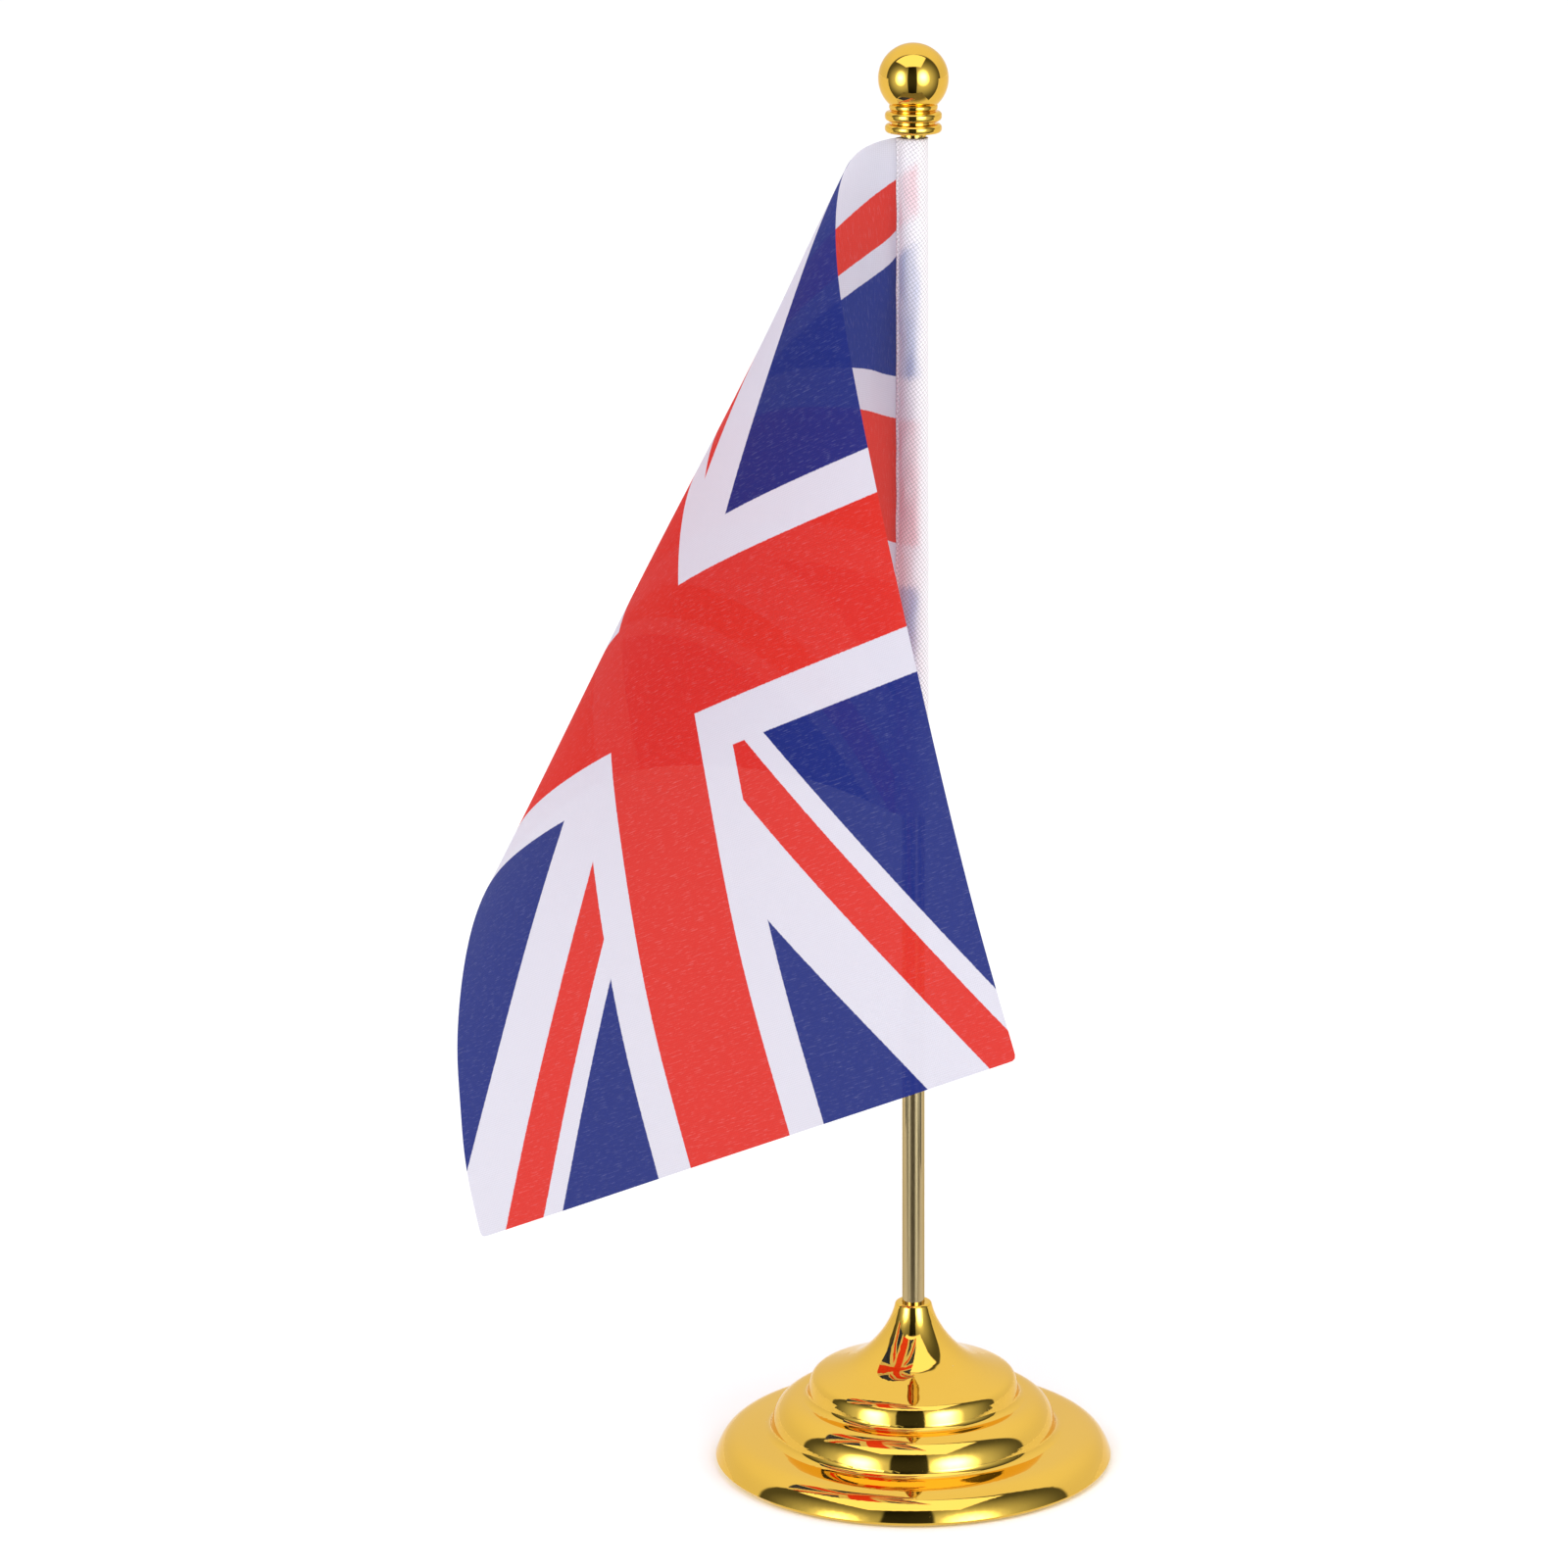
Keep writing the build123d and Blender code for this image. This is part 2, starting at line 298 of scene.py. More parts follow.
def fine_wear_group():
    """Handling marks on plated metal: hairline scratches, soft smudges and specks of dust."""
    group, given, result = new_group(
        "fine_wear",
        [("Place", "NodeSocketVector", None), ("Amount", "NodeSocketFloat", 1.0)],
        [("Scratches", "NodeSocketFloat"), ("Smudges", "NodeSocketFloat"), ("Dust", "NodeSocketFloat")],
    )
    place = given.outputs["Place"]
    total = None
    for turn, scale in ((0.5, (90, 2400, 700)), (1.7, (2100, 120, 900))):
        streaks = stretched(group, place, scale, (0.3 * turn, 0.2, turn))
        lines = fade(group, noise(group, streaks, 1.0, 1.0), 0.70, 0.78)
        total = lines if total is None else calc(group, "MAXIMUM", total, lines)
    patches = fade(group, noise(group, place, 55.0, 2.0), 0.42, 0.62)
    scratches = calc(group, "MULTIPLY", calc(group, "MULTIPLY", total, patches), given.outputs["Amount"])
    feed(group, result.inputs["Scratches"], scratches)
    smudges = fade(group, noise(group, place, 38.0, 4.0, 0.6), 0.45, 0.75)
    feed(group, result.inputs["Smudges"], calc(group, "MULTIPLY", smudges, given.outputs["Amount"]))
    specks = node(group, "ShaderNodeTexVoronoi", feature="F1")
    feed(group, specks.inputs["Vector"], place)
    specks.inputs["Scale"].default_value = 420.0
    dots = fade(group, specks.outputs["Distance"], 0.03, 0.06, 1.0, 0.0)
    chosen = fade(group, noise(group, place, 300.0, 0.0), 0.66, 0.70)
    dust = calc(group, "MULTIPLY", calc(group, "MULTIPLY", dots, chosen), given.outputs["Amount"])
    feed(group, result.inputs["Dust"], dust)
    return group


def flag_print_group():
    """The flag's pattern: how red and how white the cloth is at a place, the rest being blue."""
    group, given, result = new_group(
        "flag_print",
        [("Flat Place", "NodeSocketVector", None), ("Bleed", "NodeSocketFloat", PRINT_BLEED)],
        [("Red", "NodeSocketFloat"), ("White", "NodeSocketFloat")],
    )
    parts = node(group, "ShaderNodeSeparateXYZ")
    feed(group, parts.inputs[0], given.outputs["Flat Place"])
    bleed = given.outputs["Bleed"]
    fringe = noise(group, stretched(group, given.outputs["Flat Place"], (1400, 1400, 1)), 1.0, 1.0)
    fringe = calc(group, "MULTIPLY", calc(group, "SUBTRACT", fringe, 0.5), bleed)
    along = calc(group, "SUBTRACT", parts.outputs[0], PRINT_CENTRE[0])
    along = calc(group, "DIVIDE", along, PRINT_UNIT * PRINT_STRETCH)
    up = calc(group, "DIVIDE", calc(group, "SUBTRACT", parts.outputs[1], PRINT_CENTRE[1]), PRINT_UNIT)
    side = calc(group, "SIGN", along)
    distance_along = calc(group, "ABSOLUTE", along)
    distance_up = calc(group, "ABSOLUTE", up)
    nearest_arm = calc(group, "MINIMUM", distance_along, distance_up)
    nearest_arm = calc(group, "ADD", nearest_arm, fringe)
    edge = calc(group, "MULTIPLY", bleed, 0.5)

    def inside(value, limit):
        low = calc(group, "SUBTRACT", limit, edge)
        high = calc(group, "ADD", limit, edge)
        return fade(group, value, low, high, 1.0, 0.0)

    cross_red = inside(nearest_arm, CROSS_HALF)
    cross_all = inside(nearest_arm, BORDER_HALF)
    line_rise = calc(group, "MULTIPLY", distance_along, SALTIRE_SLOPE)
    line_up = calc(group, "MULTIPLY", calc(group, "SIGN", up), line_rise)
    square_to_line = math.cos(math.atan(SALTIRE_SLOPE))
    offset = calc(group, "MULTIPLY", calc(group, "SUBTRACT", up, line_up), square_to_line)
    offset = calc(group, "MULTIPLY", calc(group, "MULTIPLY", offset, side), -1.0)
    offset = calc(group, "ADD", offset, fringe)
    saltire_all = inside(calc(group, "ABSOLUTE", offset), SALTIRE_HALF)
    red_middle = calc(group, "ABSOLUTE", calc(group, "ADD", offset, SALTIRE_RED / 2))
    saltire_red = inside(red_middle, SALTIRE_RED / 2)
    uncrossed = calc(group, "SUBTRACT", 1.0, cross_all)
    red = calc(group, "MAXIMUM", cross_red, calc(group, "MULTIPLY", saltire_red, uncrossed))
    white = calc(group, "MAXIMUM", cross_all, saltire_all)
    feed(group, result.inputs["Red"], red)
    feed(group, result.inputs["White"], white)
    return group


# ---------------------------------------------------------------- materials

def printed_colour(tree, place, print_group, white, red, blue, bleed=PRINT_BLEED):
    """The print in three chosen colours."""
    pattern = use_group(tree, print_group, Flat_Place=place, Bleed=bleed)
    colour = blend_colours(tree, pattern["White"], blue, white)
    return blend_colours(tree, pattern["Red"], colour, red)


def flag_cloth_material(weave, print_group):
    """Thin printed polyester: light comes through it and a little passes between its threads."""
    material, tree, output = new_material("flag_cloth")
    place = flat_place(tree)
    threads = use_group(tree, weave, Flat_Place=place, Pitch=THREAD_PITCH)
    surface = printed_colour(
        tree, place, print_group, (0.62, 0.61, 0.70, 1), (0.52, 0.009, 0.006, 1), (0.005, 0.009, 0.105, 1)
    )
    fleck = calc(tree, "MULTIPLY", threads["Fleck"], 0.12)
    surface = blend_colours(tree, fleck, surface, (0.72, 0.72, 0.82, 1))
    # Painted shade: the weave's low threads darken the printed colour and its high threads lighten it a
    # little.
    shade = fade(tree, threads["Height"], 0.0, 1.0, 0.84, 1.04)
    surface = shaded(tree, surface, shade)
    through = printed_colour(
        tree, place, print_group, (0.77, 0.76, 0.85, 1), (0.90, 0.070, 0.050, 1), (0.032, 0.058, 0.35, 1)
    )
    normal = bump(tree, threads["Height"], 0.00006, 0.6)
    cloth = principled(
        tree, surface, 0.66, normal=normal, Sheen_Weight=0.03, Sheen_Roughness=0.4, Specular_IOR_Level=0.08
    )
    light_through = node(tree, "ShaderNodeBsdfTranslucent")
    feed(tree, light_through.inputs["Color"], through)
    body = node(tree, "ShaderNodeMixShader")
    body.inputs[0].default_value = LIGHT_THROUGH_CLOTH
    tree.links.new(cloth, body.inputs[1])
    tree.links.new(light_through.outputs[0], body.inputs[2])
    gaps = node(tree, "ShaderNodeBsdfTransparent")
    whole = node(tree, "ShaderNodeMixShader")
    whole.inputs[0].default_value = GAPS_IN_CLOTH
    tree.links.new(body.outputs[0], whole.inputs[1])
    tree.links.new(gaps.outputs[0], whole.inputs[2])
    tree.links.new(whole.outputs[0], output.inputs["Surface"])
    return material


def sleeve_ribbon_material(weave, print_group):
    """White satin ribbon; the printed cloth turned in under its front tints it, and its twill's low threads
    are darkened as painted shade.
    """
    material, tree, output = new_material("sleeve_ribbon")
    place = flat_place(tree)
    twill_place = stretched(tree, place, (1, 1, 1), (0, 0, TWILL_TURN))
    threads = use_group(tree, weave, Flat_Place=twill_place, Pitch=TWILL_PITCH)
    parts = node(tree, "ShaderNodeSeparateXYZ")
    feed(tree, parts.inputs[0], place)
    bare = (0.90, 0.86, 0.89, 1)
    tinted = printed_colour(
        tree, place, print_group, (0.84, 0.80, 0.86, 1), (0.80, 0.52, 0.57, 1), (0.38, 0.43, 0.64, 1), 0.5
    )
    waver = noise(tree, stretched(tree, place, (1, 170, 1)), 1.0, 2.0)
    reached = calc(tree, "MULTIPLY_ADD", waver, 0.0016, parts.outputs[0])
    under_cloth = fade(tree, reached, -TURNED_IN - 0.0004, -TURNED_IN + 0.0020)
    before_seam = fade(tree, parts.outputs[0], -0.0012, -0.0002, 1.0, 0.0)
    blotches = fade(tree, noise(tree, stretched(tree, place, (300, 60, 1)), 1.0, 2.0), 0.3, 0.7, 0.35, 0.85)
    amount = calc(tree, "MULTIPLY", calc(tree, "MULTIPLY", under_cloth, before_seam), blotches)
    colour = blend_colours(tree, amount, bare, tinted)
    # Painted shade: the twill's low threads darken the ribbon's colour and its high threads lighten it a
    # little.
    shade = fade(tree, threads["Height"], 0.2, 0.95, 0.66, 1.06)
    colour = shaded(tree, colour, shade)
    normal = bump(tree, threads["Height"], 0.00004, 0.5)
    satin = principled(
        tree, colour, 0.45, normal=normal, Sheen_Weight=0.1, Sheen_Roughness=0.3, Specular_IOR_Level=0.45,
        Anisotropic=0.4
    )
    light_through = node(tree, "ShaderNodeBsdfTranslucent")
    feed(tree, light_through.inputs["Color"], colour)
    body = node(tree, "ShaderNodeMixShader")
    body.inputs[0].default_value = LIGHT_THROUGH_RIBBON
    tree.links.new(satin, body.inputs[1])
    tree.links.new(light_through.outputs[0], body.inputs[2])
    tree.links.new(body.outputs[0], output.inputs["Surface"])
    return material


def gold_plating_material(wear):
    """Mirror gold plating with faint handling marks."""
    material, tree, output = new_material("gold_plating")
    place = object_place(tree)
    marks = use_group(tree, wear, Place=place, Amount=1.0)
    depth = noise(tree, place, 24.0, 3.0)
    colour = blend_colours(tree, depth, (0.86, 0.51, 0.065, 1), (0.93, 0.59, 0.10, 1))
    colour = blend_colours(tree, calc(tree, "MULTIPLY", marks["Dust"], 0.5), colour, (0.75, 0.70, 0.6, 1))
    roughness = calc(tree, "MULTIPLY_ADD", marks["Smudges"], 0.035, 0.035)
    roughness = calc(tree, "MULTIPLY_ADD", marks["Scratches"], 0.12, roughness)
    roughness = calc(tree, "MULTIPLY_ADD", marks["Dust"], 0.35, roughness)
    ripple = noise(tree, place, 130.0, 2.0)
    height = calc(tree, "MULTIPLY_ADD", marks["Scratches"], -0.05, ripple)
    normal = bump(tree, height, 0.00004, 0.5)
    shader = principled(tree, colour, roughness, 1.0, normal, Specular_Tint=(1.0, 0.92, 0.74, 1))
    tree.links.new(shader, output.inputs["Surface"])
    return material


def pole_metal_material(wear):
    """Pale brass-washed steel tube, drawn lengthwise."""
    material, tree, output = new_material("pole_metal")
    place = object_place(tree)
    marks = use_group(tree, wear, Place=place, Amount=1.0)
    drawn = noise(tree, stretched(tree, place, (2600, 2600, 45)), 1.0, 3.0, 0.6)
    patches = noise(tree, stretched(tree, place, (60, 60, 26)), 1.0, 3.0)
    colour = blend_colours(tree, patches, (0.50, 0.37, 0.165, 1), (0.60, 0.46, 0.23, 1))
    colour = blend_colours(tree, calc(tree, "MULTIPLY", drawn, 0.12), colour, (0.80, 0.72, 0.52, 1))
    roughness = calc(tree, "MULTIPLY_ADD", drawn, 0.05, 0.05)
    roughness = calc(tree, "MULTIPLY_ADD", marks["Scratches"], 0.15, roughness)
    height = calc(tree, "MULTIPLY_ADD", marks["Scratches"], -0.5, drawn)
    normal = bump(tree, height, 0.000002, 0.5)
    edge_tint = (0.72, 0.60, 0.36, 1)
    shader = principled(tree, colour, roughness, 1.0, normal, Anisotropic=0.3, Specular_Tint=edge_tint)
    tree.links.new(shader, output.inputs["Surface"])
    return material


def grained_material(name, dark, light, scale, roughness_low, roughness_high, depth, metallic=0.0):
    """A surface whose colour, roughness and height follow the same two grains."""
    material, tree, output = new_material(name)
    place = object_place(tree)
    coarse = noise(tree, place, scale, 4.0, 0.6)
    fine = noise(tree, place, scale * 7.0, 3.0, 0.7)
    grain = calc(tree, "MULTIPLY_ADD", fine, 0.5, calc(tree, "MULTIPLY", coarse, 0.5))
    colour = blend_colours(tree, fade(tree, grain, 0.35, 0.65), dark, light)
    roughness = fade(tree, coarse, 0.3, 0.7, roughness_low, roughness_high)
    shader = principled(tree, colour, roughness, metallic, bump(tree, grain, depth, 0.7))
    tree.links.new(shader, output.inputs["Surface"])
    return material


def felt_material():
    """Black felt: matted short fibres with a little fluff on top."""
    material, tree, output = new_material("black_felt")
    place = object_place(tree)
    fibres = noise(tree, place, 1500.0, 5.0, 0.75)
    matting = noise(tree, place, 240.0, 3.0, 0.6)
    tips = fade(tree, fibres, 0.35, 0.75)
    colour = blend_colours(tree, tips, (0.012, 0.012, 0.014, 1), (0.075, 0.075, 0.082, 1))
    height = calc(tree, "MULTIPLY_ADD", fibres, 0.6, calc(tree, "MULTIPLY", matting, 0.4))
    shader = principled(
        tree, colour, 0.95, normal=bump(tree, height, 0.0003), Sheen_Weight=0.6, Sheen_Roughness=0.5,
        Specular_IOR_Level=0.2
    )
    tree.links.new(shader, output.inputs["Surface"])
    return material


def thread_material():
    """White sewing thread with its twist; the twist's grooves are darkened in its colour as painted shade."""
    material, tree, output = new_material("sewing_thread")
    twist = node(tree, "ShaderNodeTexWave", bands_direction="DIAGONAL")
    feed(tree, twist.inputs["Vector"], object_place(tree))
    twist.inputs["Scale"].default_value = 900.0
    # Painted shade: the thread turns grey in the twist's grooves, where the bump is lowest.
    colour = blend_colours(tree, twist.outputs["Fac"], (0.62, 0.57, 0.60, 1), (0.86, 0.83, 0.86, 1))
    shader = principled(tree, colour, 0.6, normal=bump(tree, twist.outputs["Fac"], 0.00003), Sheen_Weight=0.2)
    tree.links.new(shader, output.inputs["Surface"])
    return material


def floor_material():
    """Plain pale floor."""
    material, tree, output = new_material("pale_floor")
    tone = noise(tree, object_place(tree), 3.0, 2.0)
    colour = blend_colours(tree, tone, (0.94, 0.94, 0.94, 1), (0.95, 0.95, 0.95, 1))
    shader = principled(tree, colour, 0.8, Specular_IOR_Level=0.1)
    tree.links.new(shader, output.inputs["Surface"])
    return material


def table_material():
    """The table as only the gold sees it: white behind the part, half glossy in front of it, where its colour
    is painted dark as painted shade for the dim light there.
    """
    material, tree, output = new_material("table_top")
    place = object_place(tree)
    parts = node(tree, "ShaderNodeSeparateXYZ")
    feed(tree, parts.inputs[0], place)
    nearness = fade(tree, parts.outputs[1], TABLE_DIM_FROM, TABLE_BRIGHT_FROM)
    nearness = calc(tree, "MULTIPLY_ADD", noise(tree, place, 3.0), 0.02, nearness, clamp=True)
    # Painted shade: the colour darkens in front of the part to stand for the dim light on the real white
    # table there.
    colour = blend_colours(tree, nearness, (0.16, 0.155, 0.15, 1), (0.93, 0.92, 0.93, 1))
    shader = principled(tree, colour, fade(tree, nearness, 0.0, 1.0, 0.32, 0.9), Specular_IOR_Level=0.5)
    tree.links.new(shader, output.inputs["Surface"])
    return material


# ---------------------------------------------------------------- mesh helpers

def link(name, mesh, material):
    """An object for a mesh, in the scene, with its material and smooth faces."""
    mesh.materials.append(material)
    mesh.shade_smooth()
    made = bpy.data.objects.new(name, mesh)
    bpy.context.scene.collection.objects.link(made)
    return made


def grid_object(name, points, flat, material, closed=False):
    """A quad mesh over a grid of points, with the flat place of every point as its UV."""
    across, up = points.shape[:2]
    mesh = bpy.data.meshes.new(name)
    faces = []
    for i in range(across if closed else across - 1):
        beside = (i + 1) % across
        for j in range(up - 1):
            faces.append((i * up + j, beside * up + j, beside * up + j + 1, i * up + j + 1))
    mesh.from_pydata(points.reshape(-1, 3).tolist(), [], faces)
    layer = mesh.uv_layers.new(name="flat")
    corners = np.empty(len(mesh.loops), dtype=np.int32)
    mesh.loops.foreach_get("vertex_index", corners)
    layer.data.foreach_set("uv", flat.reshape(-1, 2)[corners].astype(np.float32).ravel())
    return link(name, mesh, material)


# ---------------------------------------------------------------- flag cloth

def smooth_line(knots, places):
    """A natural cubic spline through evenly spaced knots, read at places from 0 to 1."""
    knots = np.asarray(knots, dtype=float)
    last = len(knots) - 1
    system = np.eye(last + 1)
    target = np.zeros_like(knots)
    for i in range(1, last):
        system[i, i - 1:i + 2] = (1.0, 4.0, 1.0)
        target[i] = 6.0 * (knots[i - 1] - 2.0 * knots[i] + knots[i + 1])
    bend = np.linalg.solve(system, target)
    at = np.clip(np.asarray(places) * last, 0, last - 1e-9)
    low = at.astype(int)
    part = (at - low)[:, None]
    rest = 1.0 - part
    straight = rest * knots[low] + part * knots[low + 1]
    curve = (rest ** 3 - rest) * bend[low] + (part ** 3 - part) * bend[low + 1]
    return straight + curve / 6.0


def running_length(line):
    """Distance along a line at each of its points, from 0 to 1."""
    steps = np.linalg.norm(np.diff(line, axis=0), axis=1)
    total = np.concatenate(([0.0], np.cumsum(steps)))
    return total / total[-1]


def rolled_guide(fly_places, drop_places):
    """The ruled roll, read so that every grid point is at its own place in the flat cloth."""
    places = np.linspace(0.0, 1.0, 1200)
    top = smooth_line([line[0] for line in CLOTH_LINES], places)
    bottom = smooth_line([line[1] for line in CLOTH_LINES], places)
    top_length = running_length(top)
    bottom_length = running_length(bottom)
    points = np.empty((len(fly_places), len(drop_places), 3))
    for j, drop in enumerate(drop_places):
        reached = (1.0 - drop) * top_length + drop * bottom_length
        at = np.interp(fly_places, reached, places)
        for axis in range(3):
            high = np.interp(at, places, top[:, axis])
            low = np.interp(at, places, bottom[:, axis])
            points[:, j, axis] = (1.0 - drop) * high + drop * low
    return points


def neighbours(points, direction, turn):
    """Matching views of grid points and their neighbours in one direction, no point in two pairs."""
    along, up = direction
    if not along:
        return points[:, turn:-1:2], points[:, turn + 1::2]
    first, second = points[turn:-1:2], points[turn + 1::2]
    if up > 0:
        return first[:, :-1], second[:, 1:]
    if up < 0:
        return first[:, 1:], second[:, :-1]
    return first, second


def hold_length(points, direction, flat_length, stiffness):
    """Moves neighbouring points back towards their distance in the flat cloth."""
    for turn in (0, 1):
        first, second = neighbours(points, direction, turn)
        gap = second - first
        length = np.linalg.norm(gap, axis=2, keepdims=True)
        shift = gap * (0.5 * stiffness * (1.0 - flat_length / length))
        first += shift
        second -= shift


def resist_bending(points, axis):
    """Straightens every three points in a row a little."""
    rows = np.moveaxis(points, axis, 0)
    bend = rows[:-2] + rows[2:] - 2.0 * rows[1:-1]
    rows[1:-1] += 0.5 * BENDING_STIFFNESS * bend
    rows[:-2] -= 0.25 * BENDING_STIFFNESS * bend
    rows[2:] -= 0.25 * BENDING_STIFFNESS * bend


def settled_cloth(guide, step_along, step_up, rounds):
    """Nudges the roll towards the cloth's flat lengths while it stays near the guide."""
    points = guide.copy()
    diagonal = math.hypot(step_along, step_up)
    for _ in range(rounds):
        resist_bending(points, 0)
        resist_bending(points, 1)
        points += GUIDE_PULL * (guide - points)
        hold_length(points, (1, 1), diagonal, SHEAR_STIFFNESS)
        hold_length(points, (1, -1), diagonal, SHEAR_STIFFNESS)
        hold_length(points, (1, 0), step_along, 1.0)
        hold_length(points, (0, 1), step_up, 1.0)
        points[0] = guide[0]
    return points


def grid_normals(points):
    """Unit normals of a grid of points."""
    normal = np.cross(np.gradient(points, axis=0), np.gradient(points, axis=1))
    return normal / np.linalg.norm(normal, axis=2, keepdims=True)


def add_creases(points, fly, up):
    """Small puckers from the seam's stitches and a slow swell over the whole cloth."""
    fly, up = fly[:, None], up[None, :]
    near_seam = np.exp(-fly / PUCKER_REACH) * np.minimum(fly / PUCKERS_START, 1.0)
    puckers = np.sin(up * 1500.0 + 2.0 * np.sin(up * 210.0)) + 0.6 * np.sin(up * 680.0 + 1.0)
    swell = np.sin(fly * 52.0 + up * 31.0) * np.sin(up * 47.0 - fly * 18.0 + 0.7)
    swell = swell * np.minimum(fly / SWELL_START, 1.0)
    height = PUCKER_DEPTH * near_seam * puckers + SWELL_DEPTH * swell
    return points + height[:, :, None] * grid_normals(points)


def tucked_strip(seam):
    """The strip of cloth that goes in between the ribbon's edges and lies round the pole's front."""
    fly = np.linspace(-TURNED_IN, 0.0, round(TURNED_IN / GRID_STEP * 3), endpoint=False)
    throat = abs(seam[0, 0]) - TUCK_RADIUS
    wrapped = np.maximum(-fly - throat, 0.0) / TUCK_RADIUS
    angle = math.pi + wrapped
    radius = TUCK_RADIUS + np.maximum(throat + fly, 0.0)
    points = np.empty((len(fly), len(seam), 3))
    points[:, :, 0] = (radius * np.cos(angle))[:, None]
    points[:, :, 1] = (radius * np.sin(angle))[:, None]
    points[:, :, 2] = seam[None, :, 2]
    return points, fly


def flag_sheet(material):
    """The printed cloth as one thin sheet, settled into its roll."""
    columns = round(FLY / GRID_STEP) + 1
    rows = round(HOIST / GRID_STEP) + 1
    fly_places = np.linspace(0.0, 1.0, columns)
    drop_places = np.linspace(0.0, 1.0, rows)
    guide = rolled_guide(fly_places, drop_places)
    rounds = SETTLING_ROUNDS
    points = settled_cloth(guide, FLY / (columns - 1), HOIST / (rows - 1), rounds)
    fly = fly_places * FLY
    up = HOIST * (1.0 - drop_places)
    points = add_creases(points, fly, up)
    tuck, tuck_fly = tucked_strip(points[0])
    points = np.concatenate((tuck, points))
    fly = np.concatenate((tuck_fly, fly))
    flat = np.stack(np.broadcast_arrays(fly[:, None], up[None, :]), axis=2)
    piece = grid_object("flag_sheet", points, flat, material)
    smooth = piece.modifiers.new("fine_cloth", "SUBSURF")
    smooth.levels = 1
    smooth.render_levels = 1
    return piece


# ---------------------------------------------------------------- sleeve

def sleeve_ribbon(material):
    """The satin ribbon folded round the pole, softly creased, its two edges closing on the cloth."""
    low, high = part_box("flag_sleeve")
    limit = high.x - RIBBON_THICKNESS
    first, last = math.pi + RIBBON_EDGE_GAP, 3 * math.pi - RIBBON_EDGE_GAP
    turn = np.linspace(first, last, RIBBON_STEPS_ROUND + 1)[:, None]
    up = np.linspace(0.0, 1.0, RIBBON_STEPS_UP + 1)[None, :]
    height = low.z + up * (high.z - low.z)
    crease = np.sin(3 * turn + 55 * up) * np.sin(23 * up + turn) + 0.5 * np.sin(5 * turn - 90 * up)
    flatter = 0.00010 * np.cos(2 * turn + 3.0 * up)
    radius = np.minimum(RIBBON_RADIUS - 0.0001 + 0.00005 * crease + flatter, limit)
    from_edge = np.minimum(turn - first, last - turn)
    radius = radius + RIBBON_EDGE_LIFT * np.exp(-(from_edge / RIBBON_LIFT_REACH) ** 2)
    x, y, z = np.broadcast_arrays(radius * np.cos(turn), radius * np.sin(turn), height)
    points = np.stack((x, y, z), axis=2)
    flat = np.stack(np.broadcast_arrays((math.pi - turn) * RIBBON_RADIUS, up * HOIST), axis=2)
    piece = grid_object("sleeve_ribbon", points, flat, material)
    thick = piece.modifiers.new("ribbon_thickness", "SOLIDIFY")
    thick.thickness = RIBBON_THICKNESS
    thick.offset = 0.0
    return piece


def seam_stitches(material):
    """A row of short thread loops, each sunk into the ribbon at both ends."""
    low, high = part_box("flag_sleeve")
    pitch = (high.z - low.z) / STITCH_COUNT
    rings, sides = 7, 8
    vertices, faces = [], []
    outward = Vector((math.cos(STITCH_ANGLE), math.sin(STITCH_ANGLE), 0))
    sideways = Vector((-outward.y, outward.x, 0))
    for stitch in range(STITCH_COUNT):
        middle = low.z + pitch * (stitch + 0.5)
        first = len(vertices)
        for ring in range(rings):
            along = ring / (rings - 1) * 2 - 1
            rise = RIBBON_RADIUS + STITCH_RADIUS * (0.9 - 1.6 * along * along)
            centre = outward * rise + Vector((0, 0, middle + along * STITCH_LENGTH / 2))
            centre += sideways * (0.00012 * along)
            girth = STITCH_RADIUS * math.sqrt(max(1 - 0.75 * along * along, 0))
            for side in range(sides):
                angle = 2 * math.pi * side / sides
                vertices.append(centre + girth * (math.cos(angle) * outward + math.sin(angle) * sideways))
        for ring in range(rings - 1):
            for side in range(sides):
                here = first + ring * sides + side
                beside = first + ring * sides + (side + 1) % sides
                faces.append((here, beside, beside + sides, here + sides))
        faces.append(tuple(first + side for side in reversed(range(sides))))
        faces.append(tuple(first + (rings - 1) * sides + side for side in range(sides)))
    mesh = bpy.data.meshes.new("seam_stitches")
    mesh.from_pydata([tuple(v) for v in vertices], [], faces)
    return link("seam_stitches", mesh, material)


# ---------------------------------------------------------------- felt

def felt_disc(material):
    """The felt pad: a cut disc whose edge is soft and slightly uneven."""
    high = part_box("felt_pad")[1]
    radius, top = high.x, high.z
    lower = [(0.0, 0.0), (0.5, 0.0), (0.9, 0.0), (0.985, 0.0), (1.0, 0.25)]
    upper = [(1.0, 0.7), (0.99, 1.0), (0.9, 1.0), (0.5, 1.0), (0.0, 1.0)]
    profile = lower + upper
    vertices, faces = [], []
    for i in range(FELT_STEPS):
        angle = 2 * math.pi * i / FELT_STEPS
        fray = FELT_FRAY * (math.sin(17 * angle) + math.sin(41 * angle + 1.0) + math.sin(97 * angle)) / 3
        for share, level in profile:
            reach = share * (radius - FELT_FRAY + fray)
            vertices.append((reach * math.cos(angle), reach * math.sin(angle), level * top))
    count = len(profile)
    for i in range(FELT_STEPS):
        for j in range(count - 1):
            here = i * count + j
            beside = (i + 1) % FELT_STEPS * count + j
            faces.append((here, here + 1, beside + 1, beside))
    mesh = bpy.data.meshes.new("felt_disc")
    mesh.from_pydata(vertices, [], faces)
    return link("felt_disc", mesh, material)


# ---------------------------------------------------------------- studio

